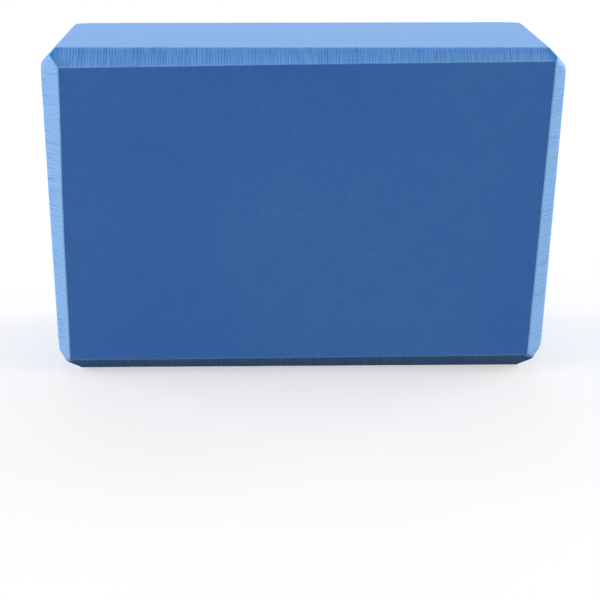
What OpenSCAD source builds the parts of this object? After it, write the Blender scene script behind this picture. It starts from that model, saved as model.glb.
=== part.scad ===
// Closed-cell foam block, sawn square and then planed to a 45 degree chamfer along all twelve edges.
// It stands on its long narrow side. X runs along the length, the front face looks towards -Y, Z is up,
// and the origin is the middle of the base.

/* [Block] */
// Length, from the left end to the right end
block_length = 228.6; // [150:0.1:400]
// Thickness, from the front face to the back face
block_thickness = 76.2; // [50:0.1:150]
// Height of the block as it stands
block_height = 152.4; // [80:0.1:300]

/* [Chamfers] */
// Leg of a chamfer that keeps one width, measured on each face from where the sharp edge was
even_leg = 7; // [3:0.1:12]
// Legs of the chamfer between the front and the top, at its left end and at its right end
front_top_legs = [7.6, 5.1]; // [3:0.1:12]
// Legs of the chamfer between the front and the left end, at its bottom and at its top
front_left_legs = [6, 9.5]; // [3:0.1:12]
// Legs of the chamfer between the front and the right end, at its bottom and at its top
front_right_legs = [8, 5.8]; // [3:0.1:12]
// Leg of the chamfer between the front and the base
front_base_leg = 8; // [3:0.1:12]
// Leg of the chamfer between the back and the top
back_top_leg = 6; // [3:0.1:12]
// Legs of the chamfers between the top and the left end, and between the top and the right end
end_top_legs = [7.5, 8.8]; // [3:0.1:12]

/* [Hidden] */

foam_blue = "#3f78c0";

// A chamfer's legs at the two ends of its edge, where both are the same
function even(leg) = [leg, leg];

// Edges along the length: [front, back] at the top, then at the base. Each runs from left to right
length_legs = [
    [front_top_legs, even(back_top_leg)],
    [even(front_base_leg), even(even_leg)],
];
// Edges up the height: [front, back] at the left end, then at the right end. Each runs from the bottom up
height_legs = [
    [front_left_legs, even(even_leg)],
    [front_right_legs, even(even_leg)],
];
// Edges through the thickness: [left, right] at the top, then at the base
thickness_legs = [
    [even(end_top_legs[0]), even(end_top_legs[1])],
    [even(even_leg), even(even_leg)],
];

// What the planer takes off one edge. The edge runs along X through the origin, with the block behind it
// at +Y and below it at -Z. The cut leans 45 degrees between the two faces. Its leg drifts evenly from
// legs[0] at the -X end of the run to legs[1] at the +X end.
module edge_cut(run, legs) {
    middle_leg = (legs[0] + legs[1]) / 2;
    drift = atan((legs[1] - legs[0]) / run / sqrt(2));
    slab_width = 4 * max(legs);
    slab_run = run + 2 * slab_width;
    translate([0, middle_leg / 2, -middle_leg / 2])
        rotate([45, 0, 0])
            rotate([0, drift, 0])
                translate([-slab_run / 2, -slab_width / 2, 0])
                    cube([slab_run, slab_width, slab_width / 2]);
}

// The front top edge is cut as it lies, and its mirror images are the back and base edges.
module length_edges() {
    for (low = [0, 1], back = [0, 1])
        mirror([0, 0, low])
            mirror([0, back, 0])
                translate([0, -block_thickness / 2, block_height / 2])
                    edge_cut(block_length, length_legs[low][back]);
}

// The front left edge is turned upright, and its mirror images are the right and back edges.
module height_edges() {
    for (right = [0, 1], back = [0, 1])
        mirror([right, 0, 0])
            mirror([0, back, 0])
                translate([-block_length / 2, -block_thickness / 2, 0])
                    rotate([0, -90, 0])
                        edge_cut(block_height, height_legs[right][back]);
}

// The left top edge is turned front to back, and its mirror images are the right and base edges.
module thickness_edges() {
    for (low = [0, 1], right = [0, 1])
        mirror([0, 0, low])
            mirror([right, 0, 0])
                translate([-block_length / 2, 0, block_height / 2])
                    rotate([0, 0, -90])
                        edge_cut(block_thickness, thickness_legs[low][right]);
}

// The block in one piece. At each corner the three cuts run out into one another and meet in a point.
module foam_block() {
    color(foam_blue)
        translate([0, 0, block_height / 2])
            difference() {
                cube([block_length, block_thickness, block_height], center = true);
                length_edges();
                height_edges();
                thickness_edges();
            }
}

foam_block();
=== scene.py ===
import math

import bmesh
import bpy
import numpy as np
from mathutils import Matrix, Vector


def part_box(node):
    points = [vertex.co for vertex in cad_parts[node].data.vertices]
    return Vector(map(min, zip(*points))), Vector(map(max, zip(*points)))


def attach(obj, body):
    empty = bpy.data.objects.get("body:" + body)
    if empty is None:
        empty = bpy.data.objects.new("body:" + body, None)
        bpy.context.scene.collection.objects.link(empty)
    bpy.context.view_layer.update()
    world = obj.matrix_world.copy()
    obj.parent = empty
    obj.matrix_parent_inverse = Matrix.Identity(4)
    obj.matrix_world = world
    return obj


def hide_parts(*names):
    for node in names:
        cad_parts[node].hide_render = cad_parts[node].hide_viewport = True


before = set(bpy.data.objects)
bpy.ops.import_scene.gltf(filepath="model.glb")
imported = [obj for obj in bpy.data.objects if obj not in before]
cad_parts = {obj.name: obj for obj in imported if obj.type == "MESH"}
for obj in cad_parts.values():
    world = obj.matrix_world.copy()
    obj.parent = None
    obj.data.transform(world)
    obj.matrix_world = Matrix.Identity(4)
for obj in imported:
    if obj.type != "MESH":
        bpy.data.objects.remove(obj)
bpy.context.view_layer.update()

# ------------------------------------------------------------------------------------------------
# Camera. It stands a little left of the middle of the front and looks down on the block, square on
# to the front face, with its lens shifted by a few hundredths of the picture.
mm = 0.001
camera_place = Vector((-15.7, -551.5, 248.1)) * mm
dip_below_level = math.radians(21.37)
lean = math.radians(-0.12)

bpy.ops.object.camera_add()
camera = bpy.context.object
camera.data.sensor_width = 36.0
camera.data.lens = 72.39
camera.data.shift_x = 0.055
camera.data.shift_y = -0.033
camera.matrix_world = (
    Matrix.Translation(camera_place)
    @ Matrix.Rotation(math.pi / 2 - dip_below_level, 4, "X")
    @ Matrix.Rotation(lean, 4, "Z")
)
bpy.context.scene.camera = camera
bpy.context.scene.view_settings.view_transform = "Standard"


# ------------------------------------------------------------------------------------------------
# Foam block. One piece of closed-cell foam, dyed right through. It is sawn square from a thick sheet,
# and its twelve edges are then planed to flat chamfers, which leaves fine lines across each of them.
LEFT, RIGHT = Vector((-1, 0, 0)), Vector((1, 0, 0))
FRONT, BACK = Vector((0, -1, 0)), Vector((0, 1, 0))
DOWN, UP = Vector((0, 0, -1)), Vector((0, 0, 1))

# Each chamfer: the two faces that it joins, its leg in millimetres where its edge starts and ends,
# and how much narrower it is half way. An edge starts at the left, at the front or at the bottom.
chamfers = [
    (FRONT, UP, 7.5, 4.9, 0.2),
    (FRONT, LEFT, 5.8, 9.4, 0.5),
    (FRONT, RIGHT, 8.2, 6.1, 0.0),
    (FRONT, DOWN, 7.0, 9.3, 0.0),
    (BACK, UP, 6.0, 6.0, 0.0),
    (BACK, LEFT, 7.0, 7.0, 0.0),
    (BACK, RIGHT, 7.0, 7.0, 0.0),
    (BACK, DOWN, 7.0, 7.0, 0.0),
    (UP, LEFT, 7.5, 7.5, 0.0),
    (UP, RIGHT, 8.8, 8.8, 0.0),
    (DOWN, LEFT, 9.0, 9.0, 0.0),
    (DOWN, RIGHT, 9.5, 9.5, 0.0),
]

# The block is drawn in millimetres, and scaled to metres when it is done.
low, high = (Vector(corner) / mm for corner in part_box("foam_block"))
block_size = high - low
block_middle = (low + high) / 2

bpy.ops.object.select_all(action="DESELECT")
bpy.ops.mesh.primitive_cube_add(size=1, location=block_middle, scale=block_size)
block = bpy.context.object
block.name = "planed_foam_block"
bpy.ops.object.transform_apply(location=True, rotation=True, scale=True)


def edge_run(side, other_side):
    """The direction in which the edge between two faces of the block runs."""
    return Vector(abs(part) for part in side.cross(other_side))


def edge_middle(side, other_side):
    """The point half way along the sharp edge between two faces."""
    return block_middle + (side + other_side) * block_size / 2


# Planing: one flat cut along each edge, which drifts a little deeper or shallower on its way.
bpy.ops.object.mode_set(mode="EDIT")
for side, other_side, start_leg, end_leg, bow in chamfers:
    run = edge_run(side, other_side)
    middle_leg = (start_leg + end_leg) / 2
    drift = (end_leg - start_leg) / block_size.dot(run)
    bpy.ops.mesh.select_all(action="SELECT")
    bpy.ops.mesh.bisect(
        plane_co=edge_middle(side, other_side) - (side + other_side) * middle_leg / 2,
        plane_no=side + other_side + run * drift,
        use_fill=True,
        clear_outer=True,
    )

# Arrises: foam doesn't hold a knife edge. Those round the two ends have worn the softest, and so have
# the corners, apart from the ones at each end of the upper front chamfer.
worn_corner = 2.4
end_arris = 1.4
face_arris = 0.5
corner_arris = 0.45


def is_sawn(face):
    """True for a face that lies square to an axis, as the six sawn faces do."""
    square = 0.9999
    return max(abs(part) for part in face.normal) > square


def leans_as(face, side, other_side):
    """True for a face that leans 45 degrees between two sides of the block."""
    full_lean = 1.4
    return face.normal.dot(side + other_side) > full_lean


edit = bmesh.from_edit_mesh(block.data)
softness = edit.edges.layers.float.new("bevel_weight_edge")
for edge in edit.edges:
    sawn_faces = [face for face in edge.link_faces if is_sawn(face)]
    if not sawn_faces:
        by_upper_front = any(leans_as(face, FRONT, UP) for face in edge.link_faces)
        arris = corner_arris if by_upper_front else worn_corner
    elif abs(sawn_faces[0].normal.x) > 0.5:
        arris = end_arris
    else:
        arris = face_arris
    edge[softness] = arris / worn_corner
bpy.ops.object.mode_set(mode="OBJECT")

bpy.ops.object.modifier_add(type="BEVEL")
soften = block.modifiers["Bevel"]
soften.limit_method = "WEIGHT"
soften.width = worn_corner
soften.segments = 3
bpy.ops.object.modifier_apply(modifier="Bevel")

# Slots: the sawn faces, then what is planed along X, along Y and along Z, with its two arrises.
planed_slots = (1, 2, 3)
for slot_name in ("foam_sawn", "foam_planed_x", "foam_planed_y", "foam_planed_z"):
    block.data.materials.append(bpy.data.materials.new(slot_name))

bpy.ops.object.mode_set(mode="EDIT")
edit = bmesh.from_edit_mesh(block.data)
for face in edit.faces:
    for axis, slot in enumerate(planed_slots):
        reach = [vert.co[axis] for vert in face.verts]
        if not is_sawn(face) and max(reach) - min(reach) > block_size[axis] / 2:
            face.material_index = slot

# Each sawn face gets a rim, which takes up the change from its coarse grid to the finely diced strips.
rim_width = 2
bpy.ops.mesh.select_mode(type="FACE")
bpy.ops.mesh.select_all(action="DESELECT")
for face in edit.faces:
    face.select_set(is_sawn(face))
bpy.ops.mesh.inset(thickness=rim_width)

# Dicing. Outside the corners the whole block gets a coarse grid, and its strips one that is as fine
# as the planer's lines. At the corners the strips alone are cut, station by station.
coarse_step = 6
fine_parts = 20
fine_step = coarse_step / fine_parts
corner_reach = 15
corner_tip = 3

for axis, slot in enumerate(planed_slots):
    run = Vector(float(other == axis) for other in range(3))
    half_run = block_size[axis] / 2
    for inset in np.arange(corner_reach, corner_tip, -fine_step):
        for station in (half_run - inset, inset - half_run):
            bpy.ops.mesh.select_all(action="DESELECT")
            edit = bmesh.from_edit_mesh(block.data)
            for face in edit.faces:
                face.select_set(face.material_index == slot or bool(inset == corner_reach))
            bpy.ops.mesh.bisect(plane_co=block_middle + run * station, plane_no=run)


def dice_along(axis, parts, chosen):
    """Cuts all the edges that run along an axis between two corners, and are chosen, into equal parts."""
    half_span = block_size[axis] / 2 - corner_reach
    bpy.ops.mesh.select_all(action="DESELECT")
    edit = bmesh.from_edit_mesh(block.data)
    for edge in edit.edges:
        start, end = (vert.co - block_middle for vert in edge.verts)
        runs_along = abs(end[axis] - start[axis]) > 0.99 * (end - start).length
        in_span = max(abs(start[axis]), abs(end[axis])) < half_span + 0.001
        edge.select_set(runs_along and in_span and chosen(edge))
    bpy.ops.mesh.subdivide(number_cuts=parts - 1)


bpy.ops.mesh.select_mode(type="EDGE")
for axis in range(3):
    span = block_size[axis] - 2 * corner_reach
    dice_along(axis, round(span / coarse_step), lambda edge: True)
for axis, slot in enumerate(planed_slots):
    dice_along(axis, fine_parts, lambda edge: any(face.material_index == slot for face in edge.link_faces))

# Each chamfer itself, between its arrises, is also diced from one face to the other.
steps_across = 6
same_station = 0.0001


def is_chamfer(face):
    """True for a face that leans 45 degrees between two sawn ones, give or take its own drift."""
    most_drift = 0.03
    most_off = 0.01
    least, middle, most = sorted(abs(part) for part in face.normal)
    return least < most_drift and most - middle < most_off + least


edit = bmesh.from_edit_mesh(block.data)
edit.normal_update()
bpy.ops.mesh.select_all(action="DESELECT")
for edge in edit.edges:
    planed = [face for face in edge.link_faces if face.material_index and is_chamfer(face)]
    if len(planed) == 2:
        axis = planed[0].material_index - 1
        start, end = (vert.co for vert in edge.verts)
        edge.select_set(abs(start[axis] - end[axis]) < same_station)
bpy.ops.mesh.subdivide(number_cuts=steps_across - 1)
bpy.ops.object.mode_set(mode="OBJECT")

# Planer lines: the cut is a hair deeper here and shallower there. A vertex on an arris slides in its
# own sawn face, so those faces stay flat and their outlines are faintly ragged.
line_depth = 0.025
line_widths = [(0.65, 0.6), (1.2, 0.8), (1.2, 0.8)]
line_sways = [0.5, 1.5, 1.5]
wave_depth = 0.03
wave_width = 6.0
wave_change = 0.8
calm_corner = 1.5

# The corners of the two ends are rubbed rounder still, and so are the back ones of the top and base.
corner_wear = 0.5
wear_reach = 1.6

vertex_count = len(block.data.vertices)
places = np.empty(vertex_count * 3)
block.data.vertices.foreach_get("co", places)
places = places.reshape(-1, 3)
strip_of = np.full(vertex_count, -1)
for face in block.data.polygons:
    leans = [abs(part) for part in face.normal]
    if face.material_index:
        strip_of[list(face.vertices)] = face.material_index - 1
    elif not is_sawn(face):
        face.material_index = planed_slots[leans.index(min(leans))]
random_lines = np.random.default_rng(5)
knots_before = 3
spare_knots = 8


def waves_at(positions, width, length):
    """Random heights about zero at positions along a run, with a peak every few widths."""
    heights = random_lines.normal(size=int(length / width) + spare_knots)
    knots = np.arange(len(heights)) - knots_before
    return np.interp(positions / width, knots, heights)


def lines_at(positions, width, length):
    """Grooves and ridges in turn at positions along a run, each of them about one width across."""
    count = int(length / width) + spare_knots
    turns = np.where(np.arange(count) % 2, 1.0, -1.0)
    heights = turns * random_lines.uniform(0.5, 1.5, count)
    knots = np.arange(count) - knots_before + random_lines.uniform(-0.3, 0.3, count)
    return np.interp(positions / width, knots, heights)


chamfer_depths = []
for side, other_side, start_leg, end_leg, bow in chamfers:
    run = edge_run(side, other_side)
    inward = (np.array(edge_middle(side, other_side)) - places) @ np.array(side + other_side)
    along = (places - np.array(low)) @ np.array(run) / block_size.dot(run)
    leg = start_leg + (end_leg - start_leg) * along
    chamfer_depths.append((inward - leg) / math.sqrt(2))
chamfer_depths = np.array(chamfer_depths)
sawn_depths = np.hstack([places - np.array(low), np.array(high) - places]).T

# What the materials read at each vertex: how far the nearest arris is, and the nearest chamfer that it
# doesn't lie on, in millimetres, how deep the planer went, in parts of a line's depth, and how near
# the vertex is to the first face in its chamfer's row, towards which the lines are painted paler as a
# highlight.
all_depths = np.sort(np.vstack([chamfer_depths, sawn_depths]), axis=0)
arris_gap = np.clip(all_depths[1], 0, None) * math.sqrt(2)
corner_gap = np.sort(chamfer_depths, axis=0)[1]
planer_cut = np.zeros(vertex_count)
highlight_side_nearness = np.full(vertex_count, 0.5)

for own_row, (side, other_side, start_leg, end_leg, bow) in enumerate(chamfers):
    run = edge_run(side, other_side)
    axis = list(run).index(1)
    length = block_size[axis]
    from_middle = places - np.array(block_middle)
    mine = (
        (strip_of == axis)
        & (from_middle @ np.array(side) > 0)
        & (from_middle @ np.array(other_side) > 0)
    )
    spots = places[mine]
    from_edge = np.array(edge_middle(side, other_side)) - spots
    side_depth = from_edge @ np.array(side)
    other_depth = from_edge @ np.array(other_side)
    across = side_depth / (side_depth + other_depth)
    along = spots[:, axis] - low[axis]
    to_corner = np.delete(chamfer_depths[:, mine], own_row, axis=0).min(axis=0)
    calm = np.clip((to_corner - corner_arris) / calm_corner, 0, 1)

    cut_lines = np.zeros(len(spots))
    for line_width in line_widths[axis]:
        sway = line_sways[axis] * waves_at(along, 2 * wave_width, length) * (across - 0.5)
        upper = lines_at(along + sway, line_width, length)
        lower = lines_at(along - sway, line_width, length)
        share = 0.5 + waves_at(along, wave_width, length) / 2 + wave_change * (across - 0.5)
        share = np.clip(share, 0, 1)
        cut_lines += (upper * share + lower * (1 - share)) / len(line_widths[axis])
    waves = waves_at(along, wave_width, length)
    middle_run = np.clip((along - corner_reach) / (length - 2 * corner_reach), 0, 1)
    bowed = bow * np.sin(math.pi * middle_run) ** 2
    deeper = calm * (line_depth * cut_lines + wave_depth * waves) - bowed
    slide = np.outer(1 - across, other_side) + np.outer(across, side)
    places[mine] = spots - deeper[:, None] * slide
    planer_cut[mine] = cut_lines
    highlight_side_nearness[mine] = 1 - across

two_nearest = np.sort(chamfer_depths, axis=0)[:2].sum(axis=0)
behind = places[:, 1] > block_middle.y
for axis, corners in ((0, 1), (2, behind)):
    gap = np.minimum(sawn_depths[axis], sawn_depths[axis + 3]) + two_nearest
    worn_in = corners * corner_wear * np.exp(-np.clip(gap, 0, None) / wear_reach)
    places[:, axis] -= np.sign(places[:, axis] - block_middle[axis]) * worn_in
block.data.vertices.foreach_set("co", places.ravel())
for name, values in (
    ("arris_gap", arris_gap),
    ("corner_gap", corner_gap),
    ("planer_cut", planer_cut),
    ("highlight_side_nearness", highlight_side_nearness),
):
    block.data.attributes.new(name, "FLOAT", "POINT").data.foreach_set("value", values)

merge_gap = 0.03
bpy.ops.object.mode_set(mode="EDIT")
bpy.ops.mesh.select_all(action="SELECT")
bpy.ops.mesh.remove_doubles(threshold=merge_gap)

# The sawn faces are shaded flat, and the rest is smooth.
bpy.ops.mesh.faces_shade_smooth()
bpy.ops.mesh.select_mode(type="FACE")
edit = bmesh.from_edit_mesh(block.data)
for face in edit.faces:
    face.select_set(is_sawn(face))
bpy.ops.mesh.faces_shade_flat()
bpy.ops.object.mode_set(mode="OBJECT")
block.scale = (mm, mm, mm)
bpy.ops.object.transform_apply(location=True, rotation=True, scale=True)

# Finishes. The foam is the same blue all through. The planed faces are paler than the sawn ones, partly
# from a little pale fuzz and partly as painted light: the upright ones along Z, which the side lamps
# light most, are painted palest, and those along X, with the grain of the sheet, darkest.
sawn_blue = (0.040, 0.172, 0.566, 1)
planed_blues_with_painted_light = [(0.108, 0.289, 0.689, 1), (0.15, 0.33, 0.64, 1), (0.245, 0.442, 0.762, 1)]
line_shares = [0.86, 0.45, 0.45]
pale_blue = (0.25, 0.50, 0.86, 1)
deep_blue = (0.016, 0.12, 0.44, 1)
fuzz_blue = (0.67, 0.97, 0.93, 1)
fuzz_roughness = 0.5


def node(tree, kind, inputs, **settings):
    """Adds a shader node. Each of its inputs gets a value, or a link from another node's output."""
    made = tree.nodes.new("ShaderNode" + kind)
    for name, setting in settings.items():
        setattr(made, name, setting)
    for name, source in inputs.items():
        if isinstance(source, bpy.types.NodeSocket):
            tree.links.new(source, made.inputs[name])
        else:
            made.inputs[name].default_value = source
    return made


def number(tree, operation, first, second=0.0):
    """The result of a Math node."""
    return node(tree, "Math", {0: first, 1: second}, operation=operation).outputs["Value"]


def ranged(tree, value, lowest, highest, to_lowest=0.0, to_highest=1.0):
    """A value carried over from one range to another, and kept inside it."""
    inputs = {"Value": value, "From Min": lowest, "From Max": highest}
    inputs.update({"To Min": to_lowest, "To Max": to_highest})
    return node(tree, "MapRange", inputs).outputs["Result"]


def blended(tree, share, colour, other_colour):
    """One colour, and as much of another as the share says."""
    mix = node(tree, "Mix", {"Factor": share}, data_type="RGBA")
    for socket, source in ((mix.inputs[6], colour), (mix.inputs[7], other_colour)):
        if isinstance(source, bpy.types.NodeSocket):
            tree.links.new(source, socket)
        else:
            socket.default_value = source
    return mix.outputs[2]


def effect(name, inputs, outputs):
    """An empty node group, with its own input and output nodes."""
    group = bpy.data.node_groups.new(name, "ShaderNodeTree")
    for socket_name, kind in inputs.items():
        group.interface.new_socket(socket_name, in_out="INPUT", socket_type="NodeSocket" + kind)
    for socket_name in outputs:
        group.interface.new_socket(socket_name, in_out="OUTPUT", socket_type="NodeSocketFloat")
    return group, group.nodes.new("NodeGroupInput").outputs, group.nodes.new("NodeGroupOutput").inputs


# Closed cells: fine pits that the cut has opened, and a slow drift of shade through the sheet.
cells, given, result = effect("closed_cells", {"Place": "Vector", "Cell Size": "Float"}, ["Pits", "Drift"])
per_cell = number(cells, "DIVIDE", 1.0, given["Cell Size"])
pits = node(cells, "TexVoronoi", {"Vector": given["Place"], "Scale": per_cell})
fuzz = node(cells, "TexNoise", {"Vector": given["Place"], "Scale": per_cell, "Detail": 3.0})
pitted = number(cells, "MULTIPLY", ranged(cells, pits.outputs["Distance"], 0.1, 0.8), fuzz.outputs["Fac"])
cells.links.new(number(cells, "MULTIPLY", pitted, 2.0), result["Pits"])
drift = node(cells, "TexNoise", {"Vector": given["Place"], "Scale": 0.3, "Detail": 2.0})
cells.links.new(ranged(cells, drift.outputs["Fac"], 0.3, 0.7), result["Drift"])

# Tool lines: lines that a blade draws over the foam, so many to the millimetre along each axis. They
# sway by so much over a run, with finer ones between them, and fade here and there to the faintest.
lines, given, result = effect(
    "tool_lines",
    {"Place": "Vector", "Fineness": "Vector", "Sway": "Float", "Sway Run": "Float", "Faintest": "Float"},
    ["Lines", "Fine Lines"],
)
per_run = number(lines, "DIVIDE", 1.0, given["Sway Run"])
wander = node(lines, "TexNoise", {"Vector": given["Place"], "Scale": per_run, "Detail": 1.0})
centred = node(lines, "VectorMath", {0: wander.outputs["Color"], 1: (0.5, 0.5, 0.5)}, operation="SUBTRACT")
sway = node(lines, "VectorMath", {0: centred.outputs[0], "Scale": given["Sway"]}, operation="SCALE")
swayed = node(lines, "VectorMath", {0: sway.outputs[0], 1: given["Place"]}, operation="ADD")
scaled = node(lines, "VectorMath", {0: swayed.outputs[0], 1: given["Fineness"]}, operation="MULTIPLY")
boldness = node(lines, "TexNoise", {"Vector": given["Place"], "Scale": 0.08, "Detail": 2.0})
bold = ranged(lines, boldness.outputs["Fac"], 0.38, 0.62, given["Faintest"], 1.0)
for name, times in (("Lines", 1.0), ("Fine Lines", 1.9)):
    streaks = node(lines, "TexNoise", {"Vector": scaled.outputs[0], "Scale": times, "Detail": 1.0})
    streak = ranged(lines, streaks.outputs["Fac"], 0.3, 0.7, -0.5, 0.5)
    lines.links.new(number(lines, "MULTIPLY", streak, bold), result[name])

# Worn arrises: the very edge is painted pale, partly as rubbed wear and partly as a painted highlight where
# the arris catches the light, more in some places than in others.
arris_wear_and_highlight, given, result = effect("worn_and_highlit_arris", {"Place": "Vector", "Gap": "Float", "Width": "Float"}, ["Wear"])
patches = node(arris_wear_and_highlight, "TexNoise", {"Vector": given["Place"], "Scale": 1.6, "Detail": 3.0, "Roughness": 0.6})
reach = number(arris_wear_and_highlight, "MULTIPLY", given["Width"], ranged(arris_wear_and_highlight, patches.outputs["Fac"], 0.35, 0.65, 0.2, 1.8))
worn_and_highlit = number(arris_wear_and_highlight, "SUBTRACT", 1.0, number(arris_wear_and_highlight, "DIVIDE", given["Gap"], reach))
arris_wear_and_highlight.links.new(ranged(arris_wear_and_highlight, worn_and_highlit, 0.0, 0.8), result["Wear"])


def placed(tree, group, inputs):
    """A node group, put into a material with its own values."""
    made = node(tree, "Group", {}, node_tree=group)
    for name, source in inputs.items():
        if isinstance(source, bpy.types.NodeSocket):
            tree.links.new(source, made.inputs[name])
        else:
            made.inputs[name].default_value = source
    return made.outputs


def kept(tree, name):
    """A number that the mesh holds at each vertex."""
    return node(tree, "Attribute", {}, attribute_name=name).outputs["Fac"]


def finish(foam, colour, roughness, height, bump_depth, gloss, sheen):
    """Wires the foam's colour, roughness and relief into its shader, and sets its gloss and sheen."""
    tree = foam.node_tree
    shader = tree.nodes["Principled BSDF"]
    relief = node(tree, "Bump", {"Height": height, "Strength": 1.0, "Distance": bump_depth * mm})
    tree.links.new(colour, shader.inputs["Base Color"])
    tree.links.new(roughness, shader.inputs["Roughness"])
    tree.links.new(relief.outputs["Normal"], shader.inputs["Normal"])
    shader.inputs["Specular IOR Level"].default_value = gloss
    shader.inputs["Sheen Weight"].default_value = sheen
    shader.inputs["Sheen Tint"].default_value = fuzz_blue
    shader.inputs["Sheen Roughness"].default_value = fuzz_roughness


def place_in_mm(tree):
    """The place on the block, in millimetres."""
    place = node(tree, "TexCoord", {}).outputs["Object"]
    return node(tree, "VectorMath", {0: place, "Scale": 1 / mm}, operation="SCALE").outputs[0]


# Sawn faces: even and close, with faint saw streaks along the length. Each share says how much of
# the deep or the pale blue shows at most in a pit, in a drift of shade, in a streak and on an arris, where
# the pale is partly wear and partly a painted highlight.
sawn_cell = 0.9
sawn_wear_and_highlight_width = 0.45
sawn_pit_share = 0.26
sawn_drift_share = 0.03
sawn_streak_share = 0.1
sawn_wear_and_highlight_share = 0.4
sawn_streak_height = 0.3
sawn_roughness = (0.55, 0.7)
saw = {"Fineness": (0.01, 0.5, 0.01), "Sway": 0.6, "Sway Run": 30.0, "Faintest": 0.35}

foam = block.data.materials[0]
foam.use_nodes = True
tree = foam.node_tree
place = place_in_mm(tree)
cell = placed(tree, cells, {"Place": place, "Cell Size": sawn_cell})
streak = placed(tree, lines, {"Place": place, **saw})
rub_and_highlight = placed(tree, arris_wear_and_highlight, {"Place": place, "Gap": kept(tree, "arris_gap"), "Width": sawn_wear_and_highlight_width})
colour = blended(tree, number(tree, "MULTIPLY", cell["Pits"], sawn_pit_share), sawn_blue, deep_blue)
colour = blended(tree, number(tree, "MULTIPLY", cell["Drift"], sawn_drift_share), colour, pale_blue)
colour = blended(tree, ranged(tree, streak["Lines"], -0.5, 0.5, 0.0, sawn_streak_share), colour, pale_blue)
# Pale on the arrises: partly rubbed wear, partly a painted highlight.
colour = blended(tree, number(tree, "MULTIPLY", rub_and_highlight["Wear"], sawn_wear_and_highlight_share), colour, pale_blue)
raised = number(tree, "MULTIPLY", streak["Lines"], sawn_streak_height)
height = number(tree, "SUBTRACT", raised, cell["Pits"])
roughness = ranged(tree, cell["Pits"], 0.0, 1.0, *sawn_roughness)
finish(foam, colour, roughness, height, bump_depth=0.05, gloss=0.5, sheen=0.2)

# Planed faces: paler ridges and deeper grooves across each chamfer. The ridges are painted paler towards
# the first face in the chamfer's row, a painted highlight, and the grooves darker towards its other face,
# painted shade. With the grain its lines are fine, even and straight, and the ends are painted darker, as
# painted shade where the chamfers meet at the corners. Across the grain they are broader, and sway and
# fade. Each list holds what the chamfers along X, along Y and along Z have.
line_counts = [2.2, 1.1, 1.1]
broad_shares = [0.15, 1.0, 1.0]
blade_swings = [(2.0, 32.0), (5.0, 12.0), (5.0, 12.0)]
faintest_lines = [0.75, 0.2, 0.2]
corner_shade_shares = [0.45, 0.1, 0.0]
corner_shade_reach = 4.0
corner_shade_full = 0.5
lines_lengthwise = 0.045
cut_share = 0.5
ridges_on_shaded_side = 0.3
grooves_on_highlit_side = 0.4
planed_cell = 0.45
planed_wear_and_highlight_width = 0.8
planed_pit_share = 0.08
planed_wear_and_highlight_share = 0.45
planed_pit_height = 0.5
planed_roughness = (0.65, 0.8)
for axis, slot in enumerate(planed_slots):
    foam = block.data.materials[slot]
    foam.use_nodes = True
    tree = foam.node_tree
    place = place_in_mm(tree)
    fineness = [lines_lengthwise, lines_lengthwise, lines_lengthwise]
    fineness[axis] = line_counts[axis]
    swing, run = blade_swings[axis]
    blade = {"Fineness": fineness, "Sway": swing, "Sway Run": run, "Faintest": faintest_lines[axis]}
    cell = placed(tree, cells, {"Place": place, "Cell Size": planed_cell})
    line = placed(tree, lines, {"Place": place, **blade})
    rub_and_highlight = placed(tree, arris_wear_and_highlight, {"Place": place, "Gap": kept(tree, "arris_gap"), "Width": planed_wear_and_highlight_width})
    broad = number(tree, "MULTIPLY", line["Lines"], broad_shares[axis])
    ridges = number(tree, "ADD", broad, line["Fine Lines"])
    cut = number(tree, "MULTIPLY", kept(tree, "planer_cut"), cut_share)
    ridges = number(tree, "SUBTRACT", ridges, cut)
    # The pale of the ridges is a painted highlight towards the chamfer's first face, and the dark of the
    # grooves is painted shade towards the other.
    raised = ranged(tree, kept(tree, "highlight_side_nearness"), 0.0, 1.0, ridges_on_shaded_side, 1.0)
    sunk = ranged(tree, kept(tree, "highlight_side_nearness"), 0.0, 1.0, 1.0, grooves_on_highlit_side)
    share = line_shares[axis]
    pale = number(tree, "MULTIPLY", ranged(tree, ridges, -0.1, 0.8, 0.0, share), raised)
    deep = number(tree, "MULTIPLY", ranged(tree, ridges, 0.1, -0.8, 0.0, share), sunk)
    # The base blue of each chamfer holds painted light: palest on the upright ones along Z.
    colour = blended(tree, pale, planed_blues_with_painted_light[axis], pale_blue)
    colour = blended(tree, deep, colour, deep_blue)
    colour = blended(tree, number(tree, "MULTIPLY", cell["Pits"], planed_pit_share), colour, deep_blue)
    # Painted shade: the chamfers are darker near the corners, where they meet.
    corner_shade = ranged(tree, kept(tree, "corner_gap"), corner_shade_reach, corner_shade_full)
    colour = blended(tree, number(tree, "MULTIPLY", corner_shade, corner_shade_shares[axis]), colour, deep_blue)
    # Pale on the arrises: partly rubbed wear, partly a painted highlight.
    colour = blended(tree, number(tree, "MULTIPLY", rub_and_highlight["Wear"], planed_wear_and_highlight_share), colour, pale_blue)
    pitted = number(tree, "MULTIPLY", cell["Pits"], planed_pit_height)
    height = number(tree, "SUBTRACT", ridges, pitted)
    roughness = ranged(tree, cell["Pits"], 0.0, 1.0, *planed_roughness)
    finish(foam, colour, roughness, height, bump_depth=0.06, gloss=0.2, sheen=0.08)

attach(block, "root")
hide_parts("foam_block")

# ------------------------------------------------------------------------------------------------
# Floor. A wide floor, matt, plain and white, that carries the soft shadow of the block. Half of what
# is seen of it is lit and half is white by itself, and far from the block it is white by itself
# alone. It throws little light back on to the block, so that the lower edges stay dark.
floor_size = 80.0
floor_colour = (0.8, 0.8, 0.8, 1)
thrown_back = (0.04, 0.04, 0.04, 1)
own_white = 0.5
shadow_reach = 0.4
white_from = 1.5

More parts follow.
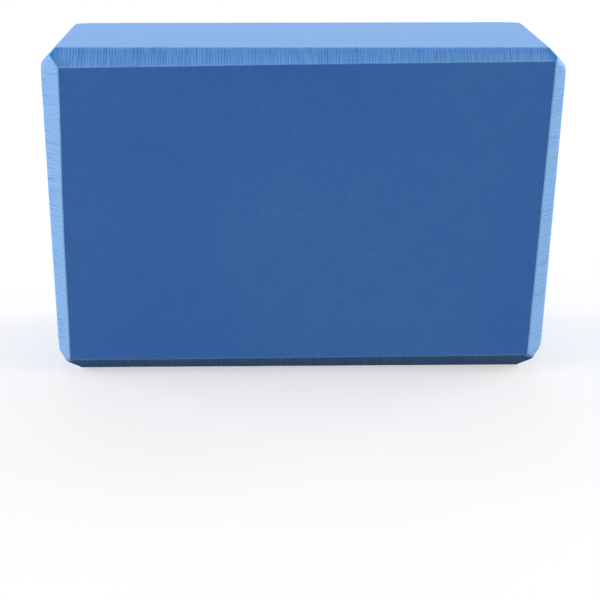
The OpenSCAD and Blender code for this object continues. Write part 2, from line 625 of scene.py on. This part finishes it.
bpy.ops.object.select_all(action="DESELECT")
bpy.ops.mesh.primitive_plane_add(size=floor_size, location=(0, 0, low.z * mm))
floor = bpy.context.object
floor.name = "studio_floor"
floor_paint = bpy.data.materials.new("floor_paint")
floor_paint.use_nodes = True
tree = floor_paint.node_tree
tree.nodes.clear()
spot = node(tree, "TexCoord", {}).outputs["Object"]
distance = node(tree, "VectorMath", {0: spot}, operation="LENGTH").outputs["Value"]
share = ranged(tree, distance, shadow_reach, white_from, own_white, 1.0)
lit = node(tree, "BsdfDiffuse", {"Color": floor_colour}).outputs["BSDF"]
glow = node(tree, "Emission", {"Strength": 1.0}).outputs["Emission"]
white = node(tree, "MixShader", {"Fac": share, 1: lit, 2: glow}).outputs["Shader"]
dim = node(tree, "BsdfDiffuse", {"Color": thrown_back}).outputs["BSDF"]
ray = node(tree, "LightPath", {}).outputs
seen = number(tree, "MAXIMUM", ray["Is Camera Ray"], ray["Is Glossy Ray"])
seen = number(tree, "MAXIMUM", seen, ray["Is Transmission Ray"])
choice = node(tree, "MixShader", {"Fac": seen, 1: dim, 2: white}).outputs["Shader"]
node(tree, "OutputMaterial", {"Surface": choice})
floor.data.materials.append(floor_paint)

# ------------------------------------------------------------------------------------------------
# Light. White surroundings, and three large soft boxes: one at each side, and one high up behind.
# They are of an even white all over, and the camera doesn't see them.
surroundings = 0.38
world = bpy.data.worlds.new("studio")
bpy.context.scene.world = world
world.use_nodes = True
world.node_tree.nodes["Background"].inputs["Color"].default_value = (1, 1, 1, 1)
world.node_tree.nodes["Background"].inputs["Strength"].default_value = surroundings


def soft_box(name, place, target, width, height, radiance):
    """A rectangular lamp at a place, turned to a target, of an even brightness all over."""
    bpy.ops.object.light_add(type="AREA", location=place)
    lamp = bpy.context.object
    lamp.name = name
    lamp.data.shape = "RECTANGLE"
    lamp.data.size = width
    lamp.data.size_y = height
    lamp.data.energy = radiance * math.pi * width * height
    lamp.rotation_euler = (Vector(target) - Vector(place)).to_track_quat("-Z", "Y").to_euler()
    lamp.visible_camera = False
    return lamp


block_centre = (0, 0, 0.08)
side_size = {"width": 2.3, "height": 0.95}
left_box = soft_box("left_soft_box", (-1.72, -0.09, 0.61), block_centre, **side_size, radiance=7.2)
right_box = soft_box("right_soft_box", (1.71, 0.15, 0.61), block_centre, **side_size, radiance=7.55)
soft_box("back_soft_box", (0, 1.41, 1.49), block_centre, width=2.0, height=1.2, radiance=1.6)

# The two at the sides give no glare, or the top would shine white when it is seen from an end.
for side_box in (left_box, right_box):
    side_box.visible_glossy = False
